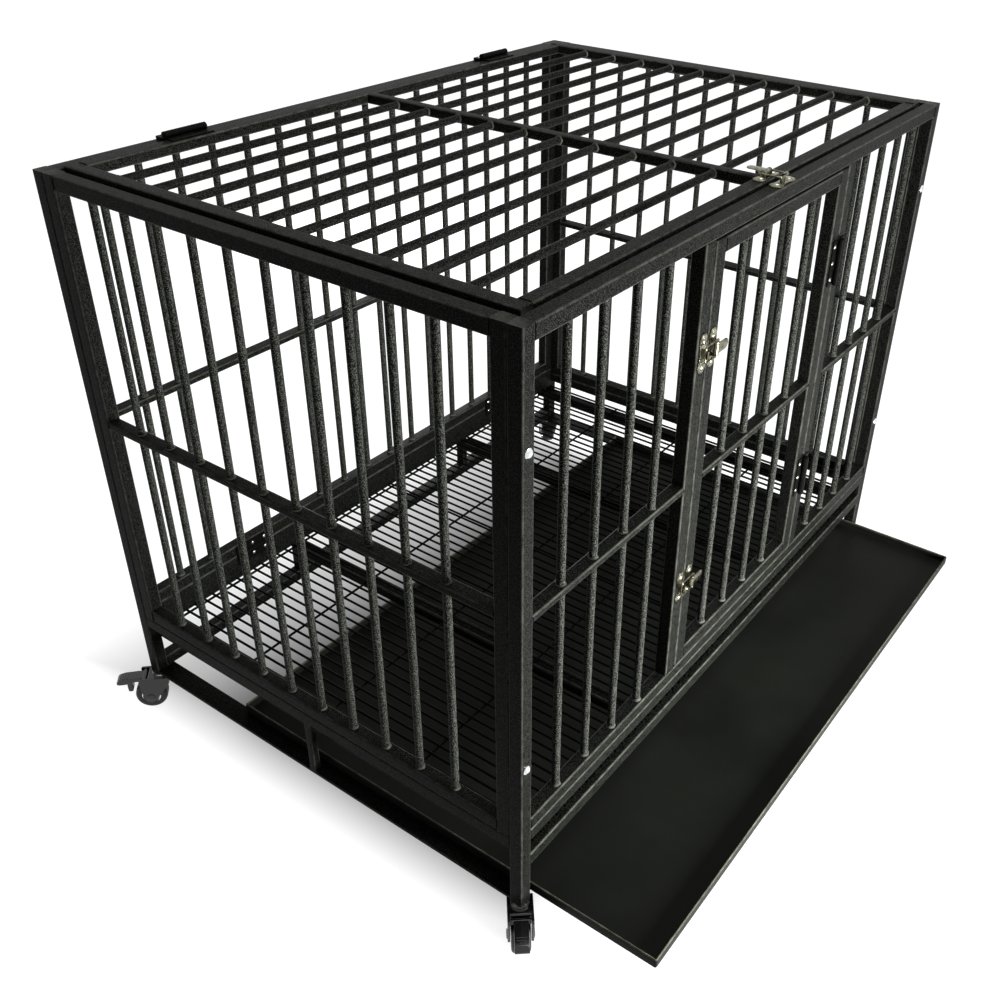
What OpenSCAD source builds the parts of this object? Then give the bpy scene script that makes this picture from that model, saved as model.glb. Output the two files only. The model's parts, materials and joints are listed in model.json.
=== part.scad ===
// Heavy duty dog crate: barred panels on a tube base, a front door, a top lid, a floor tray and castors.
// Sizes are millimetres. X runs along the front, Y from front to back, Z up from the floor.
// The door, lid and latches are drawn shut, and the tray is pulled part way out.

/* [Frame] */
// Length along the front
crate_length = 1092; // [900:1:1250]
// Depth from front to back
crate_depth = 756; // [640:1:900]
// Height of the barred panels
panel_height = 684; // [600:1:800]
// Height of the base, from the foot of a leg to the foot of a panel
base_height = 132; // [126:1:180]
// How far the side panels reach down below the front and back panels
side_drop = 10.5; // [6:0.5:12]
// Side of the square tube
tube = 20; // [18:0.5:24]
// Cut along each edge of a tube
tube_cut = 1.5; // [0.5:0.1:2.5]

/* [Bars] */
// Diameter of the round bars
bar_d = 10.5; // [9:0.1:14]
// Bars in each side panel
side_bars = 10; // [6:1:11]
// Extra room in front of the first bar of a side panel
side_bars_back = 14; // [0:0.5:20]
// Bars in the back panel
back_bars = 16; // [10:1:17]
// Bars in each bay beside the door
bay_bars = 4; // [2:1:5]
// Bars in the door
door_bars = 4; // [2:1:5]
// Bars in the lid
lid_bars = 10; // [6:1:11]
// Height of the flat rail that the bars pass through
mid_rail_h = 10; // [6:0.5:16]
// Middle of that rail above the foot of the panels
mid_rail_up = 336; // [300:1:380]

/* [Door] */
// Width of the door
door_width = 374; // [330:1:420]
// Middle of the door to the right of the crate's middle
door_right = 7.5; // [0:0.5:12]
// Width of the door's posts
door_post = 24; // [20:0.5:28]
// Width of the posts that the door closes against
jamb = 22; // [20:0.5:26]
// Gap all round the door
door_gap = 3; // [2:0.1:5]
// Upper hinge and latch, above the foot of the panels
fitting_high = 526; // [480:1:560]
// Lower latch, above the foot of the panels
latch_low = 174; // [120:1:220]
// Lower hinge, above the foot of the panels
hinge_low = 165; // [120:1:220]

/* [Lid] */
// Height of the lid's rails
lid_rail_h = 15; // [13.5:0.1:18]
// How far the lid stands above the frame
lid_proud = 3; // [1:0.1:4]
// Gap at each end of the lid
lid_end_gap = 8; // [4:0.1:12]
// Gap in front of the lid
lid_front_gap = 4; // [2:0.1:5]
// Gap behind the lid, where the hinges turn
lid_back_gap = 5; // [3:0.1:6]
// Width of the bar down the middle of the lid
lid_spine = 15; // [12:0.5:20]
// Distance of each lid hinge from the middle
lid_hinge_off = 333; // [250:1:380]

/* [Hinges] */
// Length of a hinge
hinge_l = 68; // [50:1:80]
// Radius of the knuckles
knuckle_r = 5; // [4:0.1:6]
// Width of a leaf from the hinge line
leaf_w = 18; // [16:0.5:19]
// Thickness of a leaf
leaf_t = 2; // [1.5:0.1:2.5]
// Radius of the hinge pin
hinge_pin_r = 2.5; // [2:0.1:3]
// Distance of each fold hinge from the middle
fold_hinge_off = 329; // [280:1:380]

/* [Latches] */
// Distance between the two rivets of a latch plate
rivet_pitch = 34; // [30:0.5:40]
// Radius of the round ends of a latch plate
lobe_r = 9; // [8:0.1:9.8]
// Thickness of a latch plate
plate_t = 1.5; // [1:0.1:2]
// Distance of each plate from the gap it spans
plate_off = 11.5; // [10.5:0.1:12]
// Height of the lever's pivot above the tube
pivot_up = 6.5; // [6.3:0.1:8]
// Distance from the lever's pivot to the loop's
loop_throw = 6; // [5.8:0.1:7]
// Wire diameter of the loop
loop_wire = 2.5; // [2:0.1:2.8]
// Length of the lever from its pivot
lever_l = 27; // [24:0.5:34]
// Width of the lever's leaf
lever_w = 14; // [12:0.1:14.4]
// Height of the hook above the tube
hook_h = 11; // [9:0.5:14]

/* [Tray and floor] */
// Depth of the tray from front to back
tray_depth = 742; // [640:1:780]
// Height of the tray's wall
tray_h = 16; // [10:0.5:24]
// Thickness of the tray's sheet
tray_t = 1.5; // [1:0.1:2]
// How far the tray stands out in front
tray_out = 189; // [100:1:240]
// Width of each tray runner
runner_w = 31; // [28:0.5:38]
// Thickness of each tray runner
runner_t = 5; // [3:0.1:6]
// Foot of a leg to the top of a runner
runner_up = 8.6; // [7:0.1:10]
// Top of the lower front rail, below the panels
floor_down = 46; // [46:0.5:52]
// Height of the deep back rail
back_rail_h = 45; // [30:0.5:45]
// Distance of each floor support from the middle
support_off = 228; // [180:1:280]
// Width of the upright struts in the base
strut = 12; // [10:0.5:16]
// Distance of the side struts behind the middle
strut_back = 5; // [-20:1:30]
// Wire size of the floor grates
grate_wire = 4; // [3:0.1:5]
// Distance between grate wires
grate_pitch = 17.5; // [15:0.1:20]
// Cross wires in each grate
cross_wires = 5; // [3:1:7]

/* [Castors] */
// Height of a castor, floor to leg
castor_h = 68; // [68:0.5:76]
// Diameter of a wheel
wheel_d = 50; // [44:0.5:50]
// Width of a wheel
wheel_w = 26; // [20:0.5:26]
// Distance from the swivel to the axle
trail = 20; // [18:0.5:24]
// Reach of the brake pedal from the swivel
pedal_reach = 70; // [66:1:80]
// Width of the brake pedal
pedal_w = 20; // [17:0.5:22]

/* [Fixings] */
// Lower panel bolts, above the foot of the panels
bolt_low = 113; // [80:1:160]
// Upper panel bolts, above the foot of the panels
bolt_high = 549; // [500:1:600]
// Radius of a panel bolt's shank
bolt_r = 3; // [2.5:0.1:3.5]

/* [Clearances] */
// Running clearance on a pin's radius
pin_clear = 0.05; // [0.02:0.01:0.1]
// Gap between neighbouring parts that move
move_gap = 0.4; // [0.3:0.05:0.6]

/* [Hidden] */
$fn = 48;

half_l = crate_length / 2;
half_d = crate_depth / 2;
inner_x = half_l - tube;
inner_y = half_d - tube;
seam = castor_h + base_height;
frame_top = seam + panel_height;
side_seam = seam - side_drop;
side_len = 2 * inner_y;
weld = 1;
far = 2000;

bolt_l = 2 * tube - 4;
bolt_hole = bolt_l + 2;
bolt_head_h = 3.5;

// Door opening and door
jamb_x = door_width / 2 + door_gap;
door_foot = seam + tube + door_gap;
door_top = frame_top - tube - door_gap;
door_h = door_top - door_foot;
door_gap_x = door_width / 2 + door_gap / 2;

// Lid
lid_top = frame_top + lid_proud;
lid_foot = lid_top - lid_rail_h;
lid_x = inner_x - lid_end_gap;
lid_front = -inner_y + lid_front_gap;
lid_back = inner_y - lid_back_gap;
lid_gap_front_y = -inner_y + lid_front_gap / 2;
lid_gap_back_y = inner_y - lid_back_gap / 2;
rest_t = 3;
rest_l = 30;
rest_hold = 8;
rest_reach = lid_front_gap + rest_hold;
rest_off = lid_hinge_off / 2;

// Hinges
hinge_up = knuckle_r + move_gap;
third = hinge_l / 6;
leaf_start = knuckle_r + 1;
pin_end = 1.5;
screw_r = 1.6;
screw_head_r = 3;
screw_head_h = 1.2;
screw_pitch = hinge_l * 0.36;
screw_off = (leaf_start + leaf_w) / 2;
fold_leaf_in = 1.5;

// Latches, along the line from strike to lever
rivet_r = 2.5;
rivet_head_r = 5;
rivet_head_h = 1.8;
pin_r = 1.5;
ear_r = 3.9;
ear_t = 1.8;
barrel_half = 7.2;
ear_in = barrel_half + move_gap;
loop_half = ear_in + ear_t + move_gap + loop_wire / 2;
loop_grip = 4;
leg_slim = 0.15;
hook_half = 6;
hook_t = 2;
loop_bar = -plate_off - hook_t / 2 - move_gap - loop_wire / 2;
lug_r = loop_wire / 2 + 1;
lever_t = 2;

// Base, tray and grates
runner_top = castor_h + runner_up;
tray_foot = runner_top + move_gap;
side_gap = 3;
tray_x = inner_x - side_gap;
tray_front = -half_d - tray_out;
hem_h = 5;
hem_t = 2 * tray_t;
floor_top = seam - floor_down;
back_foot = runner_top - tube_cut;
grate_foot = floor_top + move_gap;
grate_mid = side_gap / 2;
grate_end = inner_x - side_gap;
grate_inset = 6;
grate_front = -half_d + grate_inset;
grate_back = inner_y - side_gap;
cross_inset = 21;
cross_front = -inner_y + cross_inset;
cross_back = grate_back - grate_wire;
cross_pitch = (cross_back - cross_front) / (cross_wires - 1);
wire_up = 1.4 * grate_wire;
grate_span = grate_end - grate_mid;
grate_count = floor((grate_span - grate_wire) / grate_pitch);

// Castors
wheel_gap = 1;
fork_wall = 3.5;
fork_in = wheel_w / 2 + wheel_gap;
fork_out = fork_in + fork_wall;
stem_r = 13;
stem_t = 4;
king_r = 4;
king_head_r = 6;
king_head_h = 3;
fork_top = castor_h - stem_t - move_gap;
fork_plate_t = 11;
fork_plate_foot = fork_top - fork_plate_t;
fork_boss_r = 10.8;
fork_lip = 14;
king_foot = fork_plate_foot - move_gap - king_head_h;
axle_r = 4;
axle_head_r = 6.5;
axle_head_h = 1.5;
pedal_pin_x = trail + 6.5;
pedal_pin_z = fork_top - fork_plate_t / 2;
pedal_pin_r = 2;
pedal_knuckle_r = 4;
pedal_pad = 14;
pedal_drop = 8;
shoe_gap = 2;
shoe_x = trail + wheel_d / 2 + shoe_gap;
shoe_l = 8;
shoe_w = 14;
shoe_up = 8;
shoe_foot = wheel_d / 2 + shoe_up;
shoe_round = 3;
hub_r = 9;
hub_dip = 2;
rim_r = 15;
tyre_fall = 4;
front_left_turn = 220;
front_right_turn = 200;
back_turn = 135;

// The row's origin lies under the middle of the whole outline, tray and pedals included
back_reach = half_d - tube / 2 + pedal_reach * sin(back_turn) - pedal_w / 2 * cos(back_turn);
row_shift = (half_d + tray_out - back_reach) / 2;

// Outline of a tube, with its edges cut
module tube_outline(w, h) {
    c = tube_cut;
    polygon([[c, 0], [w - c, 0], [w, c], [w, h - c], [w - c, h], [c, h], [0, h - c], [0, c]]);
}

module rail_x(x0, x1, y0, z0, h = tube) {
    translate([x0, y0, z0]) rotate([90, 0, 90]) linear_extrude(x1 - x0) tube_outline(tube, h);
}

module rail_y(y0, y1, x0, z0, w = tube, h = tube) {
    translate([x0, y1, z0]) rotate([90, 0, 0]) linear_extrude(y1 - y0) tube_outline(w, h);
}

module rail_z(z0, z1, x0, y0, w = tube) {
    translate([x0, y0, z0]) linear_extrude(z1 - z0) tube_outline(w, tube);
}

// Upright bars set evenly between x0 and x1
module bars(x0, x1, count, foot, top) {
    pitch = (x1 - x0) / (count + 1);
    for (i = [1 : count])
        translate([x0 + i * pitch, tube / 2, foot]) cylinder(d = bar_d, h = top - foot);
}

// A whole welded panel, with its right post made wider by extra and its bars set back from the left post
module barred_panel(w, count, h, mid_up, extra = 0, post = tube, back = 0) {
    right = w - post - extra;
    rail_z(0, h, 0, 0, post);
    rail_z(0, h, right, 0, post + extra);
    rail_x(post - tube_cut, right + tube_cut, 0, 0);
    rail_x(post - tube_cut, right + tube_cut, 0, h - tube);
    rail_x(post - tube_cut, right + tube_cut, 0, mid_up - mid_rail_h / 2, mid_rail_h);
    bars(post + back, right, count, tube - weld, h - tube + weld);
}

// Holes for the bolts that tie the front and back panels to the side panels
module bolt_holes() {
    for (sx = [-1, 1], sy = [-1, 1], up = [bolt_low, bolt_high])
        translate([sx * (half_l - tube / 2), sy * half_d, seam + up]) rotate([90, 0, 0])
            cylinder(r = bolt_r + pin_clear, h = 2 * bolt_hole, center = true);
}

module side_panel() {
    difference() {
        translate([half_l, -inner_y, side_seam]) rotate([0, 0, 90])
            barred_panel(side_len, side_bars, panel_height + side_drop, mid_rail_up + side_drop,
                back = side_bars_back);
        bolt_holes();
    }
}

module left_panel() {
    color("#2b2d2a") mirror([1, 0, 0]) side_panel();
}

module right_panel() {
    color("#2b2d2a") side_panel();
}

module back_panel() {
    color("#2b2d2a") difference() {
        translate([-half_l, inner_y, seam])
            barred_panel(crate_length, back_bars, panel_height, mid_rail_up, tube);
        bolt_holes();
    }
}

// Corner post, bars and door jamb on the right of the door, with the jamb moved right by away
module front_bay(away) {
    bay_w = half_l - jamb_x - away;
    difference() {
        translate([jamb_x + away, -half_d, seam]) {
            rail_z(tube, panel_height - tube, 0, 0, jamb);
            rail_z(0, panel_height, bay_w - tube, 0);
            rail_x(jamb - tube_cut, bay_w - tube + tube_cut, 0, mid_rail_up - mid_rail_h / 2, mid_rail_h);
            bars(jamb, bay_w - tube, bay_bars, tube, panel_height - tube);
        }
        bolt_holes();
    }
}

module front_left_bay() {
    color("#2b2d2a") mirror([1, 0, 0]) front_bay(-door_right);
}

module front_right_bay() {
    color("#2b2d2a") front_bay(door_right);
}

module front_top_rail() {
    color("#2b2d2a") rail_x(-inner_x, inner_x, -half_d, frame_top - tube);
}

// Two small tabs on the front top rail carry the front edge of the lid
module lid_rests() {
    color("#2b2d2a") for (s = [-1, 1])
        translate([s * rest_off - rest_l / 2, -inner_y, lid_foot - move_gap - rest_t])
            cube([rest_l, rest_reach, rest_t]);
}

module front_bottom_rail() {
    color("#2b2d2a") rail_x(-inner_x, inner_x, -half_d, seam);
}

module leg(sx, sy) {
    color("#2b2d2a") rail_z(castor_h, seam, sx > 0 ? inner_x : -half_l, sy > 0 ? inner_y : -half_d);
}

module base_front_rail() {
    color("#2b2d2a") rail_x(-inner_x, inner_x, -half_d, seam - tube);
}

module base_tray_rail() {
    color("#2b2d2a") rail_x(-inner_x, inner_x, -half_d, floor_top - tube);
}

module base_back_frame() {
    color("#2b2d2a") {
        rail_x(-inner_x, inner_x, inner_y, seam - back_rail_h, back_rail_h);
        rail_x(-inner_x, inner_x, inner_y, back_foot);
        for (s = [-1, 1])
            rail_z(back_foot + tube - tube_cut, seam - back_rail_h + tube_cut,
                s * support_off - strut / 2, inner_y, strut);
    }
}

module base_side_rail() {
    rail_y(-inner_y, inner_y, inner_x, side_seam - tube);
    translate([half_l - strut, strut_back - strut / 2, runner_top])
        cube([strut, strut, side_seam - tube - runner_top + tube_cut]);
}

module base_left_rail() {
    color("#2b2d2a") mirror([1, 0, 0]) base_side_rail();
}

module base_right_rail() {
    color("#2b2d2a") base_side_rail();
}

module runner() {
    translate([half_l - runner_w, -inner_y, runner_top - runner_t]) cube([runner_w, side_len, runner_t]);
}

module left_runner() {
    color("#2b2d2a") mirror([1, 0, 0]) runner();
}

module right_runner() {
    color("#2b2d2a") runner();
}

// One support under the middle of a grate, and one along its side that ends against the back leg
module support(s) {
    color("#2b2d2a") {
        rail_y(-inner_y, inner_y, s * support_off - tube / 2, floor_top - tube);
        rail_y(-inner_y, half_d, s * (inner_x - tube / 2) - tube / 2, floor_top - tube);
    }
}

// Low round head
module dome(r, h) {
    ball = (r * r + h * h) / (2 * h);
    intersection() {
        translate([0, 0, h - ball]) sphere(r = ball);
        cylinder(r = r, h = h);
    }
}

module panel_bolts() {
    color("#c9ccd0") for (sx = [-1, 1], sy = [-1, 1], up = [bolt_low, bolt_high])
        translate([sx * (half_l - tube / 2), sy * half_d, seam + up]) rotate([-90 * sy, 0, 0]) {
            dome(2 * bolt_r, bolt_head_h);
            translate([0, 0, -bolt_l]) cylinder(r = bolt_r, h = bolt_l + weld);
        }
}

// Latch parts are drawn along X from strike to lever, standing up from Z = 0
module latch_plate(foot) {
    difference() {
        translate([0, 0, foot]) {
            for (s = [-1, 1]) translate([0, s * rivet_pitch / 2, 0]) cylinder(r = lobe_r, h = plate_t);
            translate([-lobe_r, -rivet_pitch / 2, 0]) cube([2 * lobe_r, rivet_pitch, plate_t]);
        }
        for (s = [-1, 1])
            translate([0, s * rivet_pitch / 2, foot - weld])
                cylinder(r = rivet_r + pin_clear, h = plate_t + 2 * weld);
    }
}

module strike(drop) {
    translate([-plate_off, 0, 0]) {
        latch_plate(-drop);
        translate([-hook_t / 2, -hook_half, plate_t - drop - weld])
            cube([hook_t, 2 * hook_half, hook_h - plate_t + drop + weld]);
    }
}

module latch_base() {
    translate([plate_off, 0, 0]) {
        latch_plate(0);
        for (s = [-1, 1]) translate([0, s * (ear_in + ear_t / 2), 0]) {
            translate([0, 0, pivot_up]) rotate([90, 0, 0]) cylinder(r = ear_r, h = ear_t, center = true);
            translate([-ear_r, -ear_t / 2, plate_t - weld]) cube([2 * ear_r, ear_t, pivot_up - plate_t + weld]);
        }
        translate([0, 0, pivot_up]) rotate([90, 0, 0])
            cylinder(r = pin_r, h = 2 * ear_in + ear_t, center = true);
    }
}

module latch_rivets(x, drop) {
    for (s = [-1, 1]) translate([x, s * rivet_pitch / 2, -drop]) {
        cylinder(r = rivet_r, h = plate_t + weld);
        translate([0, 0, plate_t]) dome(rivet_head_r, rivet_head_h);
    }
}

module lever() {
    tip = lever_l - lever_w / 2;
    difference() {
        translate([plate_off, 0, pivot_up]) {
            rotate([90, 0, 0]) cylinder(r = ear_r, h = 2 * barrel_half, center = true);
            translate([loop_throw, 0, 0]) rotate([90, 0, 0])
                cylinder(r = lug_r, h = 2 * barrel_half, center = true);
            translate([0, -barrel_half, -lug_r]) cube([loop_throw, 2 * barrel_half, 2 * lug_r]);
            translate([0, -lever_w / 2, lug_r - weld]) cube([tip, lever_w, lever_t]);
            translate([tip, 0, lug_r - weld]) cylinder(r = lever_w / 2, h = lever_t);
        }
        translate([plate_off, 0, pivot_up]) rotate([90, 0, 0])
            cylinder(r = pin_r + pin_clear, h = far, center = true);
        for (s = [-1, 1]) translate([plate_off + loop_throw, s * barrel_half, pivot_up]) rotate([90, 0, 0])
            cylinder(r = loop_wire / 2 + pin_clear, h = 2 * loop_grip, center = true);
    }
}

module loop() {
    r = loop_wire / 2;
    x1 = plate_off + loop_throw;
    grip_in = barrel_half - loop_grip + move_gap;
    translate([0, 0, pivot_up]) {
        for (s = [-1, 1]) {
            translate([loop_bar, s * loop_half, 0]) rotate([0, 90, 0])
                cylinder(r = r - leg_slim, h = x1 - loop_bar);
            translate([x1, s * (loop_half + r + grip_in) / 2, 0]) rotate([90, 0, 0])
                cylinder(r = r, h = loop_half + r - grip_in, center = true);
        }
        translate([loop_bar, 0, 0]) rotate([90, 0, 0]) cylinder(r = r, h = 2 * (loop_half + r), center = true);
    }
}

module at_door_latch(up) {
    translate([door_right - door_gap_x, -half_d, seam + up]) rotate([90, 0, 0]) children();
}

module at_lid_latch() {
    translate([0, lid_gap_front_y, lid_top]) rotate([0, 0, 90]) children();
}

module latch_strikes() {
    color("#c4c6c2") {
        at_door_latch(fitting_high) strike(0);
        at_door_latch(latch_low) strike(0);
        at_lid_latch() strike(lid_proud);
    }
}

module strike_rivets() {
    color("#d8d9d6") {
        at_door_latch(fitting_high) latch_rivets(-plate_off, 0);
        at_door_latch(latch_low) latch_rivets(-plate_off, 0);
        at_lid_latch() latch_rivets(-plate_off, lid_proud);
    }
}

module door_latch_bases() {
    color("#c4c6c2") for (up = [fitting_high, latch_low]) at_door_latch(up) latch_base();
}

module door_latch_rivets() {
    color("#d8d9d6") for (up = [fitting_high, latch_low]) at_door_latch(up) latch_rivets(plate_off, 0);
}

module lid_latch_base() {
    color("#c4c6c2") at_lid_latch() latch_base();
}

module lid_latch_rivets() {
    color("#d8d9d6") at_lid_latch() latch_rivets(plate_off, 0);
}

// Hinges are drawn about Z, standing off a face at Y = hinge_up, with the fixed leaf towards +X
module leaf_plate(x0, x1, z0, z1, pad = 0) {
    translate([x0, hinge_up - leaf_t, z0]) cube([x1 - x0, leaf_t + pad, z1 - z0]);
}

module screw_places(side) {
    for (i = [-1 : 1]) translate([side * screw_off, hinge_up, i * screw_pitch]) rotate([90, 0, 0]) children();
}

module hinge_fixed(pad) {
    difference() {
        union() {
            for (s = [-1, 1]) {
                translate([0, 0, s * (2 * third + move_gap / 4)])
                    cylinder(r = knuckle_r, h = 2 * third - move_gap / 2, center = true);
                leaf_plate(0, leaf_start + weld, s > 0 ? third + move_gap / 2 : -3 * third,
                    s > 0 ? 3 * third : -third - move_gap / 2);
            }
            leaf_plate(leaf_start, leaf_w, -3 * third, 3 * third, pad);
        }
        screw_places(1) translate([0, 0, -pad - weld]) cylinder(r = screw_r + pin_clear, h = far);
    }
    cylinder(r = hinge_pin_r, h = hinge_l + 2 * pin_end, center = true);
}

module hinge_moving() {
    difference() {
        union() {
            cylinder(r = knuckle_r, h = 2 * third - move_gap, center = true);
            leaf_plate(-leaf_start - weld, 0, -third + move_gap / 2, third - move_gap / 2);
            leaf_plate(-leaf_w, -leaf_start, -3 * third, 3 * third);
        }
        cylinder(r = hinge_pin_r + pin_clear, h = far, center = true);
        screw_places(-1) translate([0, 0, -weld]) cylinder(r = screw_r + pin_clear, h = far);
    }
}

module screws(side, pad) {
    screw_places(side) {
        translate([0, 0, -pad]) cylinder(r = screw_r, h = leaf_t + pad + weld / 2);
        translate([0, 0, leaf_t]) dome(screw_head_r, screw_head_h);
    }
}

module at_door_hinges() {
    for (up = [fitting_high, hinge_low])
        translate([door_right + door_gap_x, -half_d - hinge_up, seam + up]) children();
}

module at_lid_hinges() {
    for (s = [-1, 1])
        translate([s * lid_hinge_off, lid_gap_back_y, lid_top + hinge_up]) rotate([-90, 0, 90]) children();
}

module door_hinge_posts() {
    color("#1d1e1c") at_door_hinges() hinge_fixed(0);
}

module door_hinge_leaves() {
    color("#1d1e1c") at_door_hinges() hinge_moving();
}

module door_hinge_screws() {
    color("#a8aaa6") at_door_hinges() screws(-1, 0);
}

module lid_hinge_posts() {
    color("#1d1e1c") at_lid_hinges() hinge_fixed(lid_proud);
}

module lid_hinge_leaves() {
    color("#1d1e1c") at_lid_hinges() hinge_moving();
}

module lid_hinge_screws() {
    color("#a8aaa6") at_lid_hinges() screws(-1, 0);
}

// Flat hinges on the inside of the back let the panel fold down once the bolts are out
module at_fold_hinges() {
    for (s = [-1, 1]) translate([s * fold_hinge_off, inner_y, seam]) rotate([90, 0, 0]) children();
}

module fold_screw_places() {
    for (i = [-1 : 1], s = [-1, 1]) translate([i * screw_pitch, s * tube / 2, 0]) children();
}

module fold_hinges() {
    color("#1d1e1c") at_fold_hinges() difference() {
        union() {
            translate([-hinge_l / 2, fold_leaf_in - tube, 0])
                cube([hinge_l, 2 * (tube - fold_leaf_in), leaf_t]);
            translate([-hinge_l / 2, 0, leaf_t]) rotate([0, 90, 0]) cylinder(r = leaf_t, h = hinge_l);
        }
        fold_screw_places() translate([0, 0, -weld]) cylinder(r = screw_r + pin_clear, h = far);
    }
}

module frame_hinge_screws() {
    color("#a8aaa6") {
        at_door_hinges() screws(1, 0);
        at_lid_hinges() screws(1, lid_proud);
        at_fold_hinges() fold_screw_places() {
            cylinder(r = screw_r, h = leaf_t + weld / 2);
            translate([0, 0, leaf_t]) dome(screw_head_r, screw_head_h);
        }
    }
}

module door_panel() {
    color("#2b2d2a") translate([door_right - door_width / 2, -half_d, door_foot])
        barred_panel(door_width, door_bars, door_h, mid_rail_up - tube - door_gap, post = door_post);
}

module lid_panel() {
    pitch = (lid_back - lid_front - 2 * tube) / (lid_bars + 1);
    color("#2b2d2a") {
        rail_y(lid_front, lid_back, -lid_x, lid_foot, tube, lid_rail_h);
        rail_y(lid_front, lid_back, lid_x - tube, lid_foot, tube, lid_rail_h);
        rail_x(-lid_x + tube - tube_cut, lid_x - tube + tube_cut, lid_front, lid_foot, lid_rail_h);
        rail_x(-lid_x + tube - tube_cut, lid_x - tube + tube_cut, lid_back - tube, lid_foot, lid_rail_h);
        rail_y(lid_front + tube - tube_cut, lid_back - tube + tube_cut, -lid_spine / 2, lid_foot,
            lid_spine, lid_rail_h);
        for (i = [1 : lid_bars])
            translate([-lid_x + tube - weld, lid_front + tube + i * pitch, lid_foot + lid_rail_h / 2])
                rotate([0, 90, 0]) cylinder(d = bar_d, h = 2 * (lid_x - tube + weld));
    }
}

module floor_tray() {
    color("#1c1d1b") translate([0, tray_front, tray_foot]) difference() {
        translate([-tray_x, 0, 0]) cube([2 * tray_x, tray_depth, tray_h]);
        translate([-tray_x + tray_t, tray_t, tray_t])
            cube([2 * (tray_x - tray_t), tray_depth - 2 * tray_t, tray_h - hem_h - tray_t]);
        translate([-tray_x + hem_t, hem_t, tray_t])
            cube([2 * (tray_x - hem_t), tray_depth - 2 * hem_t, tray_h]);
    }
}

// Welded wire floor, carried by the tray rail and the supports
module wire_y(x) {
    translate([x, grate_front, grate_foot + wire_up]) rotate([-90, 0, 0])
        cylinder(d = grate_wire, h = grate_back - grate_front, $fn = 8);
}

module grate() {
    color("#20211f") {
        for (i = [0 : grate_count]) wire_y(grate_mid + grate_wire / 2 + i * grate_pitch);
        wire_y(grate_end - grate_wire / 2);
        for (i = [0 : cross_wires - 1])
            translate([grate_mid, cross_front + i * cross_pitch,
                grate_foot + grate_wire / 2]) rotate([0, 90, 0])
                cylinder(d = grate_wire, h = grate_span, $fn = 8);
    }
}

module left_grate() {
    mirror([1, 0, 0]) grate();
}

module right_grate() {
    grate();
}

// Castor parts are drawn about the swivel, trailing towards +X
module castor_stem() {
    translate([0, 0, castor_h - stem_t]) cylinder(r = stem_r, h = stem_t);
    translate([0, 0, king_foot]) {
        cylinder(r = king_r, h = castor_h - king_foot);
        cylinder(r = king_head_r, h = king_head_h);
    }
}

module across(x, z, r, half) {
    translate([x, 0, z]) rotate([90, 0, 0]) cylinder(r = r, h = 2 * half, center = true);
}

module fork() {
    axle_z = wheel_d / 2;
    color("#151515") {
        difference() {
            union() {
                for (s = [-1, 1]) translate([0, s * (fork_in + fork_out) / 2, 0]) rotate([90, 0, 0])
                    linear_extrude(fork_out - fork_in, center = true) {
                        polygon([[-stem_r, fork_top], [-stem_r, fork_plate_foot], [trail - fork_boss_r, axle_z],
                            [trail + fork_boss_r, axle_z], [trail + fork_lip, fork_plate_foot],
                            [trail + fork_lip, fork_top]]);
                        translate([trail, axle_z]) circle(r = fork_boss_r);
                    }
                translate([-stem_r, -fork_in - weld, fork_plate_foot])
                    cube([stem_r + trail + 1, 2 * (fork_in + weld), fork_top - fork_plate_foot]);
            }
            translate([0, 0, fork_plate_foot - weld]) cylinder(r = king_r + pin_clear, h = far);
        }
        across(trail, axle_z, axle_r, fork_out + axle_head_h);
        for (s = [-1, 1]) translate([trail, s * (fork_out + axle_head_h / 2), axle_z]) rotate([90, 0, 0])
            cylinder(r = axle_head_r, h = axle_head_h, center = true);
        across(pedal_pin_x, pedal_pin_z, pedal_pin_r, fork_in + weld);
    }
}

module wheel() {
    r = wheel_d / 2;
    h = wheel_w / 2;
    d = hub_dip;
    f = tyre_fall;
    bore = axle_r + pin_clear;
    color("#2e2f2e") translate([trail, 0, r]) rotate([90, 0, 0]) rotate_extrude($fn = 96)
        polygon([[bore, -h], [hub_r, -h], [hub_r + 1, d - h], [rim_r - 1, d - h], [rim_r, -h], [r - f, -h],
            [r - f / 3, f / 2 - h], [r, 1.5 * f - h], [r, h - 1.5 * f], [r - f / 3, h - f / 2],
            [r - f, h], [rim_r, h], [rim_r - 1, h - d], [hub_r + 1, h - d], [hub_r, h], [bore, h]]);
}

module pedal() {
    px = pedal_pin_x;
    pz = pedal_pin_z;
    k = pedal_knuckle_r;
    pad_x = pedal_reach - pedal_pad;
    color("#151515") difference() {
        union() {
            across(px, pz, k, fork_in - move_gap);
            rotate([90, 0, 0]) linear_extrude(pedal_w, center = true)
                polygon([[px, pz + k], [pad_x, pz + k - 1], [pedal_reach, pz - 2],
                    [pedal_reach, pz - pedal_drop], [pad_x, pz - pedal_drop], [px + pedal_pad, pz - k],
                    [px, pz - k]]);
            rotate([90, 0, 0]) linear_extrude(shoe_w, center = true)
                polygon([[shoe_x, pz], [shoe_x, shoe_foot + shoe_round], [shoe_x + shoe_round, shoe_foot],
                    [shoe_x + shoe_l - shoe_round, shoe_foot], [shoe_x + shoe_l, shoe_foot + shoe_round],
                    [shoe_x + shoe_l, pz]]);
        }
        across(px, pz, pedal_pin_r + pin_clear, far);
    }
}

module at_castor(sx, sy) {
    left_turn = sy < 0 ? front_left_turn : back_turn;
    right_turn = sy < 0 ? front_right_turn : 180 - back_turn;
    translate([sx * (half_l - tube / 2), sy * (half_d - tube / 2), 0])
        rotate([0, 0, sx < 0 ? left_turn : right_turn]) children();
}

module castor_stems() {
    color("#b9bbb8") for (sx = [-1, 1], sy = [-1, 1]) at_castor(sx, sy) castor_stem();
}

module in_row() {
    translate([0, row_shift, 0]) children();
}

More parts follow.
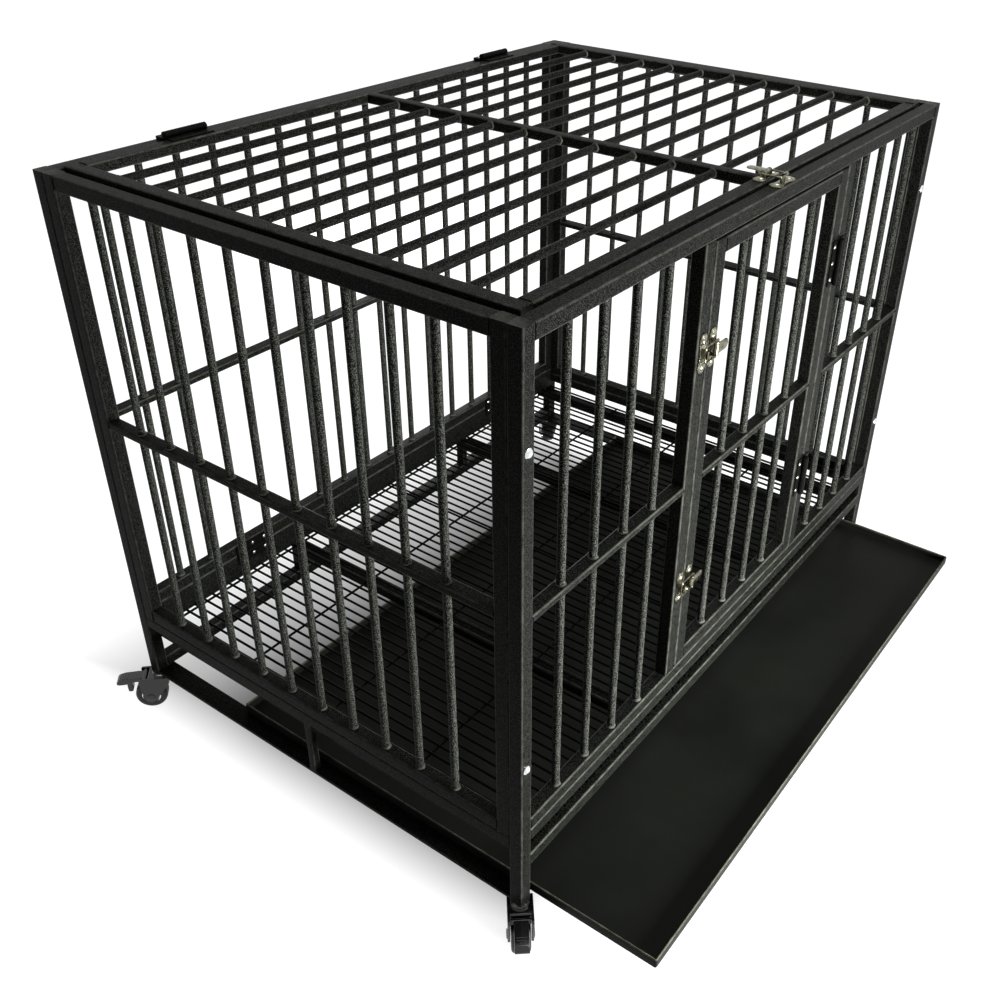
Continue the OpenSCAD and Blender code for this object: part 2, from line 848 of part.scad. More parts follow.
in_row() left_panel();
in_row() right_panel();
in_row() back_panel();
in_row() front_left_bay();
in_row() front_right_bay();
in_row() front_top_rail();
in_row() front_bottom_rail();
in_row() lid_rests();
in_row() leg(-1, -1);  // front_left_leg
in_row() leg(1, -1);  // front_right_leg
in_row() leg(-1, 1);  // back_left_leg
in_row() leg(1, 1);  // back_right_leg
in_row() base_front_rail();
in_row() base_tray_rail();
in_row() base_back_frame();
in_row() base_left_rail();
in_row() base_right_rail();
in_row() left_runner();
in_row() right_runner();
in_row() support(-1);  // left_support
in_row() support(1);  // right_support
in_row() panel_bolts();
in_row() latch_strikes();
in_row() strike_rivets();
in_row() door_hinge_posts();
in_row() lid_hinge_posts();
in_row() fold_hinges();
in_row() frame_hinge_screws();
in_row() castor_stems();
in_row() door_panel();
in_row() door_hinge_leaves();
in_row() door_hinge_screws();
in_row() door_latch_bases();
in_row() door_latch_rivets();
in_row() lid_panel();
in_row() lid_hinge_leaves();
in_row() lid_hinge_screws();
in_row() lid_latch_base();
in_row() lid_latch_rivets();
in_row() color("#c4c6c2") at_door_latch(fitting_high) lever();  // upper_lever
in_row() color("#c4c6c2") at_door_latch(latch_low) lever();  // lower_lever
in_row() color("#c4c6c2") at_lid_latch() lever();  // lid_lever
in_row() color("#d8d9d6") at_door_latch(fitting_high) loop();  // upper_loop
in_row() color("#d8d9d6") at_door_latch(latch_low) loop();  // lower_loop
in_row() color("#d8d9d6") at_lid_latch() loop();  // lid_loop
in_row() floor_tray();
in_row() left_grate();
in_row() right_grate();
in_row() at_castor(-1, -1) fork();  // front_left_fork
in_row() at_castor(-1, -1) wheel();  // front_left_wheel
in_row() at_castor(-1, -1) pedal();  // front_left_pedal
in_row() at_castor(1, -1) fork();  // front_right_fork
in_row() at_castor(1, -1) wheel();  // front_right_wheel
in_row() at_castor(1, -1) pedal();  // front_right_pedal
in_row() at_castor(-1, 1) fork();  // back_left_fork
in_row() at_castor(-1, 1) wheel();  // back_left_wheel
in_row() at_castor(-1, 1) pedal();  // back_left_pedal
in_row() at_castor(1, 1) fork();  // back_right_fork
in_row() at_castor(1, 1) wheel();  // back_right_wheel
in_row() at_castor(1, 1) pedal();  // back_right_pedal
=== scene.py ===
import json
import math

import bmesh
import bpy
from mathutils import Matrix, Vector


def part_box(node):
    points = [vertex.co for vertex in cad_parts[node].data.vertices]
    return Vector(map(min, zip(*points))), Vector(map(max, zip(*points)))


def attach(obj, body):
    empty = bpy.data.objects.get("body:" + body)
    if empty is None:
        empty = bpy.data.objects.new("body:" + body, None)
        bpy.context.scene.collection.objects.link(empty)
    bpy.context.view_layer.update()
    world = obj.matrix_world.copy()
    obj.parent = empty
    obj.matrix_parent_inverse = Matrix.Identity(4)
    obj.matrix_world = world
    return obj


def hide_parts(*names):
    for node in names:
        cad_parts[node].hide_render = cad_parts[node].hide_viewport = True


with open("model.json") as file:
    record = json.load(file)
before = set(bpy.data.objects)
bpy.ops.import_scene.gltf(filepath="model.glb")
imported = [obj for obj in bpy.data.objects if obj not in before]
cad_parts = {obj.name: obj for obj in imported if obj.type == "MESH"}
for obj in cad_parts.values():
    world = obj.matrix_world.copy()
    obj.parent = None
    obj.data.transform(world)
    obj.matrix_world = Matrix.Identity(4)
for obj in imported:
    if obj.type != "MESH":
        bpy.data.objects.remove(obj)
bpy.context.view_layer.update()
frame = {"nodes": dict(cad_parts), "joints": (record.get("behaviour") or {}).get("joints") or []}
nodes = frame["nodes"]
joints = {joint["name"]: joint for joint in frame["joints"]}

# Camera at the viewing angle, worked out from the crate's square corners and placed from the crate's middle
CAMERA_PLACE = Vector((-1.26574, -0.92403, 1.29285))
CAMERA_RIGHT = Vector((0.58096, -0.81364, 0.02175))
CAMERA_FORWARD = Vector((0.69143, 0.47926, -0.54059))
IMAGE_WIDTH = 1000
FOCAL_PIXELS = 1096.14
OPTICAL_CENTRE = (562.13, 490.67)
SENSOR = 36.0

# Frame sizes, in metres
TUBE = 0.020
TUBE_ROUND = 0.0026
BAR_RADIUS = 0.00525
DOOR_POST = 0.024
JAMB = 0.022
MID_RAIL = 0.010
MID_RAIL_UP = 0.336
SIDE_BARS = 10
BACK_BARS = 16
SIDE_BARS_BACK = 0.014
BAY_BARS = 4
DOOR_BARS = 4
LID_BARS = 10
LID_SPINE = 0.015
STRUT = 0.012
STRUT_BACK = 0.005
BACK_RAIL = 0.045
FLAT_ROUND = 0.0008
WELD = 0.0017
WELD_RISE = 0.0024
# Welds go past 1 on the edge layer, so their pale rub is brighter: partly wear, partly a painted highlight
WELD_WEAR_AND_GLINT = 1.5
BEAD = 0.0012
BEAD_PITCH = 0.0024

# Floor sizes
WIRE_RADIUS = 0.002
WIRE_PITCH = 0.0175
CROSS_WIRES = 5
CROSS_INSET = 0.021
SHEET = 0.0015
HEM = 0.0055
TRAY_CORNER = 0.003

# Latch sizes, along X from strike to lever, with Z out from the tube
PIVOT_X = 0.0115
PIVOT_UP = 0.0065
RIVET_OFF = 0.017
LOBE = 0.009
WAIST = 0.0062
WAIST_END = 0.006
PLATE = 0.0015
PLATE_EDGE = 0.0005
FLAP_EDGE = 0.0004
FLAP_FOOT = 0.0008
EAR_IN = 0.0076
EAR = 0.0018
EAR_RADIUS = 0.0039
BARREL_HALF = 0.0072
LOOP_THROW = 0.006
LOOP_WIRE = 0.00125
LOOP_BAR_X = -0.01415
LOOP_HALF = 0.01105
LOOP_BEND = 0.003
LOOP_GRIP = 0.0034
LEVER_LONG = 0.027
LEVER_HALF = 0.007
LEVER_RISE = 0.0022
LEVER_CROWN = 0.0009
LEVER_SHEET = 0.0011
LEVER_STATIONS = (-1, -0.8, -0.4, 0, 0.4, 0.8, 1)
HOOK_HALF = 0.006
HOOK_UP = 0.011

# Castor sizes, about the swivel with X towards the wheel
TRAIL = 0.020
WHEEL_RADIUS = 0.025
WHEEL_HALF = 0.013
CHEEK_IN = 0.014
CHEEK_OUT = 0.0175
CROWN_TOP = 0.0636
CROWN_FOOT = 0.0526
CROWN_ROUND = 0.003
CROWN_SEAT = 0.0005
CROWN_EDGE = 0.0003
MOULD_EDGE = 0.0008
PEDAL_HALF = 0.010
PEDAL_EDGE = 0.0012
PEDAL_PIN_X = 0.0265
PEDAL_PIN_UP = 0.0581
KNUCKLE_RADIUS = 0.004
KNUCKLE_HALF = 0.0136
SHOE_HALF = 0.007
SHOE_TOP = 0.056
SHOE_FOOT = 0.036
SHOE_ROUND = 0.003
RIB_RADIUS = 0.0009
RIB_SIDES = 10

# Mesh quality
SMOOTH_ANGLE = math.radians(38)
BAR_SIDES = 20
WIRE_SIDES = 12

# Grain of the procedural materials
NOISE_ROUGH = 0.55
CELL_SOFT = 0.6

# World and floor. The floor glows white round the crate; the glow fades out in a box under and behind the
# crate, a painted shadow, inside which the lamps' own shadow shows
WORLD_LIGHT = 0.07
FLOOR_SPAN = 20.0
FLOOR_COLOUR = (0.25, 0.25, 0.25)
FLOOR_GLOW = 1.0
SHADE_GLOW = 0.1
SHADE_IN = 0.08
SHADE_OUT = 0.02
SHADE_BACK_IN = 0.1
SHADE_BACK_OUT = 0.25

# Lamps: name, place, point that it faces, side, watts, spread in degrees
LAMPS = (
    ("key", (-0.1, -1.3, 0.3), (-0.25, 0.0, 0.35), 0.4, 20, 120),
    ("back", (1.6, 1.9, 0.45), (0, 0, 0.4), 0.8, 30, 180),
    ("top", (0.2, -1.0, 2.8), (0, 0.1, 0.5), 1.6, 36, 180),
)


def make_camera():
    data = bpy.data.cameras.new("camera")
    data.sensor_width = SENSOR
    data.lens = SENSOR * FOCAL_PIXELS / IMAGE_WIDTH
    data.shift_x = (IMAGE_WIDTH / 2 - OPTICAL_CENTRE[0]) / IMAGE_WIDTH
    data.shift_y = (OPTICAL_CENTRE[1] - IMAGE_WIDTH / 2) / IMAGE_WIDTH
    data.clip_end = 60
    camera = bpy.data.objects.new("camera", data)
    up = CAMERA_RIGHT.cross(CAMERA_FORWARD)
    turn = Matrix((CAMERA_RIGHT, up, -CAMERA_FORWARD)).transposed().to_4x4()
    middle = (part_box("front_top_rail")[0].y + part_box("back_panel")[1].y) / 2
    camera.matrix_world = Matrix.Translation(CAMERA_PLACE + Vector((0, middle, 0))) @ turn
    bpy.context.scene.collection.objects.link(camera)
    bpy.context.scene.camera = camera
    bpy.context.scene.view_settings.view_transform = "Standard"


def perpendicular(direction):
    """Two unit vectors square to a direction and to each other."""
    direction = direction.normalized()
    start = Vector((0, 0, 1)) if abs(direction.z) < 0.9 else Vector((1, 0, 0))
    u = direction.cross(start).normalized()
    return u, direction.cross(u)


def circle(centre, u, v, radius, sides):
    turns = [2 * math.pi * i / sides for i in range(sides)]
    return [centre + radius * (math.cos(t) * u + math.sin(t) * v) for t in turns]


def arc(x, y, radius, start, end, steps):
    """Points on an arc about (x, y), with angles in degrees."""
    turns = [math.radians(start + (end - start) * i / steps) for i in range(steps + 1)]
    return [(x + radius * math.cos(t), y + radius * math.sin(t)) for t in turns]


def rounded_outline(width, height, corner, steps=4):
    """A rectangle from (0, 0) with round corners, and how worn each of its points is, which on the frame also
    sets where a pale edge highlight is painted.
    """
    points = []
    wear = []
    x = width - corner
    y = height - corner
    for cx, cy, start in ((x, y, 0), (corner, y, 90), (corner, corner, 180), (x, corner, 270)):
        points += arc(cx, cy, corner, start, start + 90, steps)
        wear += [math.sin(math.pi * i / steps) for i in range(steps + 1)]
    return points, wear


def inset(outline, depth):
    """An outline that runs anticlockwise, moved inwards by depth."""
    moved = []
    count = len(outline)
    for i, (x, y) in enumerate(outline):
        before = Vector(outline[i - 1])
        after = Vector(outline[(i + 1) % count])
        along = (after - before).normalized()
        moved.append((x - depth * along.y, y + depth * along.x))
    return moved


class Shape:
    """A mesh made of closed lofts.

    Its edge layer is 1 on round corners and more on welds, where paint wears and where a pale edge highlight
    is also painted on; on the tray it marks only the worn hem. Its bar layer is 1 on rods other than the
    lid's bars, where the paint is lightened as a painted highlight.
    """

    def __init__(self):
        self.mesh = bmesh.new()
        self.edge = self.mesh.verts.layers.float.new("edge")
        self.bar = self.mesh.verts.layers.float.new("bar")

    def loft(self, rings, wear=None, bar=0.0):
        rows = [[self.mesh.verts.new(point) for point in ring] for ring in rings]
        for row in rows:
            for vertex in row:
                vertex[self.bar] = bar
        if wear:
            for row in rows:
                for vertex, amount in zip(row, wear):
                    vertex[self.edge] = amount
        count = len(rows[0])
        faces = [self.mesh.faces.new(rows[0][::-1]), self.mesh.faces.new(rows[-1])]
        for low, high in zip(rows, rows[1:]):
            for i in range(count):
                k = (i + 1) % count
                faces.append(self.mesh.faces.new((low[i], low[k], high[k], high[i])))
        bmesh.ops.recalc_face_normals(self.mesh, faces=faces)

    def rail(self, low, high, axis, corner=TUBE_ROUND):
        """A tube between two corners of a box, along one axis."""
        a = (axis + 1) % 3
        b = (axis + 2) % 3
        outline, wear = rounded_outline(high[a] - low[a], high[b] - low[b], corner)
        rings = []
        for end in (low[axis], high[axis]):
            ring = []
            for x, y in outline:
                point = Vector((0, 0, 0))
                point[axis] = end
                point[a] = low[a] + x
                point[b] = low[b] + y
                ring.append(point)
            rings.append(ring)
        self.loft(rings, wear)

    def rod(self, start, end, radius, sides=BAR_SIDES, bar=1.0):
        u, v = perpendicular(end - start)
        self.loft([circle(point, u, v, radius, sides) for point in (start, end)], bar=bar)

    def collar(self, centre, axis, phase, rise=WELD_RISE):
        """The weld round the end of a bar."""
        u, v = perpendicular(axis)
        rings = []
        for height, spread in ((-0.25, 1.0), (0.12, 0.85), (0.45, 0.4), (1.0, 0.08)):
            ring = []
            for i in range(BAR_SIDES):
                t = 2 * math.pi * i / BAR_SIDES
                ripple = 1 + 0.22 * math.cos(5 * t + phase) + 0.12 * math.cos(8 * t - 2 * phase)
                radius = BAR_RADIUS + WELD * spread * ripple
                ring.append(centre + axis * rise * height + radius * (math.cos(t) * u + math.sin(t) * v))
            rings.append(ring)
        self.loft(rings, [WELD_WEAR_AND_GLINT] * BAR_SIDES)

    def bead(self, start, end):
        """A run of weld, a row of low ripples."""
        u, v = perpendicular(end - start)
        steps = max(4, 3 * round((end - start).length / BEAD_PITCH))
        rings = []
        for i in range(steps + 1):
            share = i / steps
            taper = min(1, 6 * share + 0.3, 6 * (1 - share) + 0.3)
            swell = BEAD * taper * (0.86 + 0.14 * math.cos(2 * math.pi * i / 3))
            rings.append(circle(start.lerp(end, share), u, v, swell, 8))
        self.loft(rings)

    def lathe(self, profile, place, sides=32):
        """A profile of (radius, height) points turned about Z."""
        rings = []
        for radius, height in profile:
            flat = circle(Vector((0, 0, height)), Vector((1, 0, 0)), Vector((0, 1, 0)), radius, sides)
            rings.append([place @ point for point in flat])
        self.loft(rings)

    def plate(self, outline, low, high, round_edge, place):
        """A flat plate with both its edges rounded."""
        half = round_edge * 0.3
        rings = []
        for depth, height in ((round_edge, low), (half, low + half), (0, low + round_edge),
                              (0, high - round_edge), (half, high - half), (round_edge, high)):
            rings.append([place @ Vector((x, y, height)) for x, y in inset(outline, depth)])
        self.loft(rings)

    def wire(self, points, radius):
        """A round wire along a path."""
        rings = []
        u = None
        for i, point in enumerate(points):
            ahead = points[min(i + 1, len(points) - 1)]
            behind = points[max(i - 1, 0)]
            along = (ahead - behind).normalized()
            u = perpendicular(along)[0] if u is None else (u - u.dot(along) * along).normalized()
            rings.append(circle(point, u, along.cross(u), radius, WIRE_SIDES))
        self.loft(rings)

    def piece(self, name, material, body, slot, *replaced):
        data = bpy.data.meshes.new(name)
        self.mesh.to_mesh(data)
        self.mesh.free()
        data.shade_smooth()
        data.set_sharp_from_angle(angle=SMOOTH_ANGLE)
        data.materials.append(material)
        obj = bpy.data.objects.new(name, data)
        bpy.context.scene.collection.objects.link(obj)
        obj.modifiers.new("flat faces stay flat", "WEIGHTED_NORMAL").keep_sharp = True
        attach(obj, body)
        if replaced:
            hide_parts(*replaced)


class Look:
    """A material whose colour, roughness and bump come from its nodes."""

    def __init__(self, name, roughness, metallic=0.0, specular=0.5):
        self.material = bpy.data.materials.new(name)
        self.material.use_nodes = True
        self.tree = self.material.node_tree
        self.shader = self.tree.nodes["Principled BSDF"]
        self.shader.inputs["Roughness"].default_value = roughness
        self.shader.inputs["Metallic"].default_value = metallic
        self.shader.inputs["Specular IOR Level"].default_value = specular
        self.place = self.node("ShaderNodeTexCoord").outputs["Object"]

    def node(self, kind, **settings):
        made = self.tree.nodes.new(kind)
        for key, value in settings.items():
            setattr(made, key, value)
        return made

    def link(self, source, target):
        self.tree.links.new(source, target)

    def noise(self, scale, detail=3.0):
        made = self.node("ShaderNodeTexNoise")
        made.inputs["Scale"].default_value = scale
        made.inputs["Detail"].default_value = detail
        made.inputs["Roughness"].default_value = NOISE_ROUGH
        self.link(self.place, made.inputs["Vector"])
        return made.outputs["Fac"]

    def cells(self, scale):
        made = self.node("ShaderNodeTexVoronoi", feature="SMOOTH_F1")
        made.inputs["Scale"].default_value = scale
        made.inputs["Smoothness"].default_value = CELL_SOFT
        self.link(self.place, made.inputs["Vector"])
        return made.outputs["Distance"]

    def ramp(self, source, stops):
        made = self.node("ShaderNodeValToRGB")
        elements = made.color_ramp.elements
        while len(elements) < len(stops):
            elements.new(0.5)
        for element, (position, colour) in zip(elements, stops):
            element.position = position
            element.color = (*colour, 1)
        self.link(source, made.inputs["Fac"])
        return made.outputs["Color"]

    def span(self, source, low, high, start=0.0, end=1.0):
        made = self.node("ShaderNodeMapRange")
        made.inputs["From Min"].default_value = start
        made.inputs["From Max"].default_value = end
        made.inputs["To Min"].default_value = low
        made.inputs["To Max"].default_value = high
        self.link(source, made.inputs["Value"])
        return made.outputs["Result"]

    def maths(self, operation, first, second):
        made = self.node("ShaderNodeMath", operation=operation)
        for socket, value in zip(made.inputs, (first, second)):
            if isinstance(value, (int, float)):
                socket.default_value = value
            else:
                self.link(value, socket)
        return made.outputs["Value"]

    def mix(self, share, first, second):
        made = self.node("ShaderNodeMix", data_type="RGBA")
        self.link(share, made.inputs["Factor"])
        for socket, value in ((made.inputs["A"], first), (made.inputs["B"], second)):
            if isinstance(value, tuple):
                socket.default_value = (*value, 1)
            else:
                self.link(value, socket)
        return made.outputs["Result"]

    def bump(self, height, strength, distance):
        made = self.node("ShaderNodeBump")
        made.inputs["Strength"].default_value = strength
        made.inputs["Distance"].default_value = distance
        self.link(height, made.inputs["Height"])
        self.link(made.outputs["Normal"], self.shader.inputs["Normal"])

    def set(self, name, source):
        self.link(source, self.shader.inputs[name])


def hammer_paint():
    """Black hammer-finish paint: dimples, plain dark paint on the tubes, brighter flakes on the upright bars
    as a painted highlight, and rubbed edges whose pale tint is partly wear and partly a painted highlight.
    """
    look = Look("hammer_paint", roughness=0.4, specular=0.02)
    dimples = look.cells(760)
    grain = look.noise(1100, 2)
    # The bright flakes, used only on the upright bars, are a painted highlight standing in for the lamp's
    # shine down the bars
    flakes_with_painted_highlight = look.ramp(dimples, [(0.1, (0.26, 0.275, 0.24)), (0.3, (0.09, 0.095, 0.082)),
                                 (0.55, (0.006, 0.0064, 0.0055))])
    plain = look.ramp(dimples, [(0.1, (0.07, 0.074, 0.064)), (0.3, (0.024, 0.0255, 0.022)),
                                (0.55, (0.0016, 0.0017, 0.0015))])
    painted_highlight_share = look.node("ShaderNodeAttribute", attribute_name="bar").outputs["Fac"]
    base = look.mix(painted_highlight_share, plain, flakes_with_painted_highlight)
    edge = look.node("ShaderNodeAttribute", attribute_name="edge").outputs["Fac"]
    # The pale tint on round corners and welds is partly wear and partly a painted highlight, standing in for
    # the shine along tube edges and weld beads
    rubbed = look.maths("MULTIPLY", edge, look.span(look.noise(90), 0.2, 0.65, 0.35, 0.7))
    look.set("Base Color", look.mix(rubbed, base, (0.15, 0.155, 0.13)))
    look.set("Roughness", look.span(grain, 0.36, 0.5))
    look.bump(look.maths("ADD", dimples, look.maths("MULTIPLY", grain, 0.25)), 0.35, 0.0006)
    return look.material


def satin_black(name, light):
    """Thin satin black paint on wire and hinges."""
    look = Look(name, roughness=0.45, specular=0.02)
    grain = look.noise(420)
    dark = (0.35 * light, 0.35 * light, 0.32 * light)
    look.set("Base Color", look.ramp(grain, [(0.3, dark), (0.75, (light, light, 0.9 * light))]))
    look.set("Roughness", look.span(look.noise(120), 0.3, 0.5))
    look.bump(grain, 0.25, 0.0002)
    return look.material


def tray_paint():
    """Smooth black paint on sheet steel, with orange peel, rub marks and a worn hem."""
    look = Look("tray_paint", roughness=0.5, specular=0.03)
    peel = look.noise(650, 2)
    cloud = look.noise(5, 4)
    base = look.ramp(cloud, [(0.3, (0.008, 0.0088, 0.0074)), (0.7, (0.014, 0.0152, 0.0125))])
    edge = look.node("ShaderNodeAttribute", attribute_name="edge").outputs["Fac"]
    rubbed = look.maths("MULTIPLY", edge, look.span(look.noise(60), 0.2, 1.0, 0.3, 0.7))
    look.set("Base Color", look.mix(rubbed, base, (0.16, 0.16, 0.12)))
    look.set("Roughness", look.span(cloud, 0.34, 0.5))
    look.bump(peel, 0.2, 0.0003)
    return look.material


def plated(name, bright, dull, roughness):
    """Bright plate with faint cloudiness and a fine grain."""
    look = Look(name, roughness=roughness, metallic=1.0)
    cloud = look.noise(160, 4)
    look.set("Base Color", look.ramp(cloud, [(0.3, dull), (0.65, bright)]))
    look.set("Roughness", look.span(cloud, 0.7 * roughness, 1.5 * roughness, 0.3, 0.7))
    look.bump(look.noise(700), 0.12, 0.0001)
    return look.material


def gloss_black():
    """Moulded gloss black, very slightly wavy."""
    look = Look("gloss_black", roughness=0.12, specular=0.5)
    wave = look.noise(70, 2)
    look.set("Base Color", look.ramp(wave, [(0.3, (0.004, 0.004, 0.005)), (0.7, (0.009, 0.009, 0.010))]))
    look.set("Roughness", look.span(look.noise(240), 0.07, 0.2))
    look.bump(wave, 0.15, 0.0008)
    return look.material


def tread_rubber():
    look = Look("tread_rubber", roughness=0.5, specular=0.35)
    dust = look.noise(90, 5)
    look.set("Base Color", look.ramp(dust, [(0.35, (0.007, 0.007, 0.007)), (0.8, (0.03, 0.03, 0.028))]))
    look.set("Roughness", look.span(dust, 0.38, 0.6))
    look.bump(look.noise(800), 0.2, 0.0003)
    return look.material


def box_between(along, thin, low, high, start, end, foot, top):
    """Corners of a piece of a flat panel: its thickness from low and high, the rest as given."""
    corners = []
    for side, place, up in ((low, start, foot), (high, end, top)):
        corner = Vector((0, 0, up))
        corner[thin] = side[thin]
        corner[along] = place
        corners.append(corner)
    return corners


def bars_between(shape, along, thin, middle, start, end, count, foot, top, mid):
    """Upright bars with a weld at each end and a paint ring on the mid rail."""
    for i in range(1, count + 1):
        low = Vector((0, 0, foot))
        low[thin] = middle
        low[along] = start + (end - start) * i / (count + 1)
        high = low.copy()
        high.z = top
        shape.rod(low - Vector((0, 0, WELD)), high + Vector((0, 0, WELD)), BAR_RADIUS)
        shape.collar(low, Vector((0, 0, 1)), 1.7 * i)
        shape.collar(high, Vector((0, 0, -1)), 2.3 * i)
        for side in (-1, 1):
            crossing = low.copy()
            crossing.z = mid + side * MID_RAIL / 2
            shape.collar(crossing, Vector((0, 0, side)), 0.9 * i, WELD_RISE / 2)


def post_welds(shape, along, thin, low, high, place, rails):
    """Beads down both faces of the joint between a post and its rails."""
    for foot, top in rails:
        for side in (low[thin], high[thin]):
            start = Vector((0, 0, foot + TUBE_ROUND))
            start[thin] = side
            start[along] = place
            end = start.copy()
            end.z = top - TUBE_ROUND
            shape.bead(start, end)


def panel(node, body, bars, wide_post=0.0, post=TUBE, bars_back=0.0):
    """A welded panel: two posts, two rails, a flat mid rail and round bars."""
    low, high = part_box(node)
    along = 0 if high.x - low.x > high.y - low.y else 1
    thin = 1 - along
    left = low[along] + post
    right = high[along] - post - wide_post
    shape = Shape()
    rails = [(low.z, low.z + TUBE), (high.z - TUBE, high.z),
             (mid_rail - MID_RAIL / 2, mid_rail + MID_RAIL / 2)]
    for start, end in ((low[along], left), (right, high[along])):
        shape.rail(*box_between(along, thin, low, high, start, end, low.z, high.z), 2)
    for foot, top in rails:
        shape.rail(*box_between(along, thin, low, high, left, right, foot, top), along)
    bars_between(shape, along, thin, (low[thin] + high[thin]) / 2, left + bars_back, right, bars,
                 low.z + TUBE, high.z - TUBE, mid_rail)
    for place in (left, right):
        post_welds(shape, along, thin, low, high, place, rails)
    shape.piece(node + "_steel", paint, body, "frame_paint", node)


def front_bay(node, outer):
    """Corner post, bars and door jamb on one side of the door."""
    low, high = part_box(node)
    corner = low.x if outer < 0 else high.x - TUBE
    jamb = high.x - JAMB if outer < 0 else low.x
    left = low.x + (TUBE if outer < 0 else JAMB)
    right = high.x - (JAMB if outer < 0 else TUBE)
    foot = low.z + TUBE
    top = high.z - TUBE
    rail = (mid_rail - MID_RAIL / 2, mid_rail + MID_RAIL / 2)
    shape = Shape()
    shape.rail(*box_between(0, 1, low, high, corner, corner + TUBE, low.z, high.z), 2)
    shape.rail(*box_between(0, 1, low, high, jamb, jamb + JAMB, foot, top), 2)
    shape.rail(*box_between(0, 1, low, high, left, right, *rail), 0)
    bars_between(shape, 0, 1, (low.y + high.y) / 2, left, right, BAY_BARS, foot, top, mid_rail)
    for place in (left, right):
        post_welds(shape, 0, 1, low, high, place, [rail])
    post_welds(shape, 0, 1, low, high, left if outer < 0 else right, [(low.z, foot), (top, high.z)])
    shape.piece(node + "_steel", paint, "frame", "frame_paint", node)


def single_rails():
    """The plain tubes of the front and the base."""
    lengthwise = ("front_top_rail", "front_bottom_rail", "base_front_rail", "base_tray_rail")
    upright = ("front_left_leg", "front_right_leg", "back_left_leg", "back_right_leg")
    for axis, names in ((0, lengthwise), (2, upright)):
        for node in names:
            shape = Shape()
            shape.rail(*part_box(node), axis)
            shape.piece(node + "_steel", paint, "frame", "frame_paint", node)
    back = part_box("left_panel")[1].y
    for node in ("left_support", "right_support"):
        low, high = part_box(node)
        split = high.x - TUBE if high.x < 0 else low.x
        beside = low.x if high.x < 0 else high.x - TUBE
        shape = Shape()
        shape.rail(Vector((split, low.y, low.z)), Vector((split + TUBE, back, high.z)), 1)
        shape.rail(Vector((beside, low.y, low.z)), Vector((beside + TUBE, high.y, high.z)), 1)
        shape.piece(node + "_steel", paint, "frame", "frame_paint", node)
    for node in ("left_runner", "right_runner"):
        shape = Shape()
        shape.rail(*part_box(node), 1, FLAT_ROUND)
        shape.piece(node + "_steel", paint, "frame", "frame_paint", node)


def side_base(node, outer):
    """Side rail of the base with its strut down to the runner."""
    low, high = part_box(node)
    middle = (low.y + high.y) / 2 + STRUT_BACK
    strut = high.x - STRUT if outer > 0 else low.x
    shape = Shape()
    shape.rail(Vector((low.x, low.y, high.z - TUBE)), high, 1)
    shape.rail(Vector((strut, middle - STRUT / 2, low.z)),
               Vector((strut + STRUT, middle + STRUT / 2, high.z - TUBE + TUBE_ROUND)), 2)
    shape.piece(node + "_steel", paint, "frame", "frame_paint", node)


def back_base():
    """Deep back rail, low back rail and two struts."""
    node = "base_back_frame"
    low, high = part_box(node)
    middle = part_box("right_support")[0].x + TUBE / 2
    deep_foot = high.z - BACK_RAIL
    shape = Shape()
    shape.rail(Vector((low.x, low.y, deep_foot)), high, 0)
    shape.rail(low, Vector((high.x, high.y, low.z + TUBE)), 0)
    for side in (-1, 1):
        shape.rail(Vector((side * middle - STRUT / 2, low.y, low.z + TUBE - TUBE_ROUND)),
                   Vector((side * middle + STRUT / 2, high.y, deep_foot + TUBE_ROUND)), 2)
    shape.piece(node + "_steel", paint, "frame", "frame_paint", node)


def lid():
    """Barred lid: four rails, a spine and round bars along the crate."""
    low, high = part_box("lid_panel")
    shape = Shape()
    for start, end in ((low.x, low.x + TUBE), (high.x - TUBE, high.x)):
        shape.rail(Vector((start, low.y, low.z)), Vector((end, high.y, high.z)), 1)
    left = low.x + TUBE
    right = high.x - TUBE
    for start, end in ((low.y, low.y + TUBE), (high.y - TUBE, high.y)):
        shape.rail(Vector((left, start, low.z)), Vector((right, end, high.z)), 0)
        for place in (left, right):
            shape.bead(Vector((place, start + TUBE_ROUND, high.z)), Vector((place, end - TUBE_ROUND, high.z)))
    shape.rail(Vector((-LID_SPINE / 2, low.y + TUBE, low.z)),
               Vector((LID_SPINE / 2, high.y - TUBE, high.z)), 1)
    front = low.y + TUBE
    back = high.y - TUBE
    height = (low.z + high.z) / 2
    for i in range(1, LID_BARS + 1):
        y = front + (back - front) * i / (LID_BARS + 1)
        start = Vector((left, y, height))
        end = Vector((right, y, height))
        # The lid's bars keep the darker tube paint and are left out of the painted highlight that lightens
        # the upright bars
        shape.rod(start, end, BAR_RADIUS, bar=0.0)
        shape.collar(start, Vector((1, 0, 0)), 1.3 * i)
        shape.collar(end, Vector((-1, 0, 0)), 2.1 * i)
        for side in (-1, 1):
            place = Vector((side * LID_SPINE / 2, y, height))
            shape.collar(place, Vector((side, 0, 0)), 0.7 * i, WELD_RISE / 2)
    shape.piece("lid_panel_steel", paint, "lid", "frame_paint", "lid_panel")


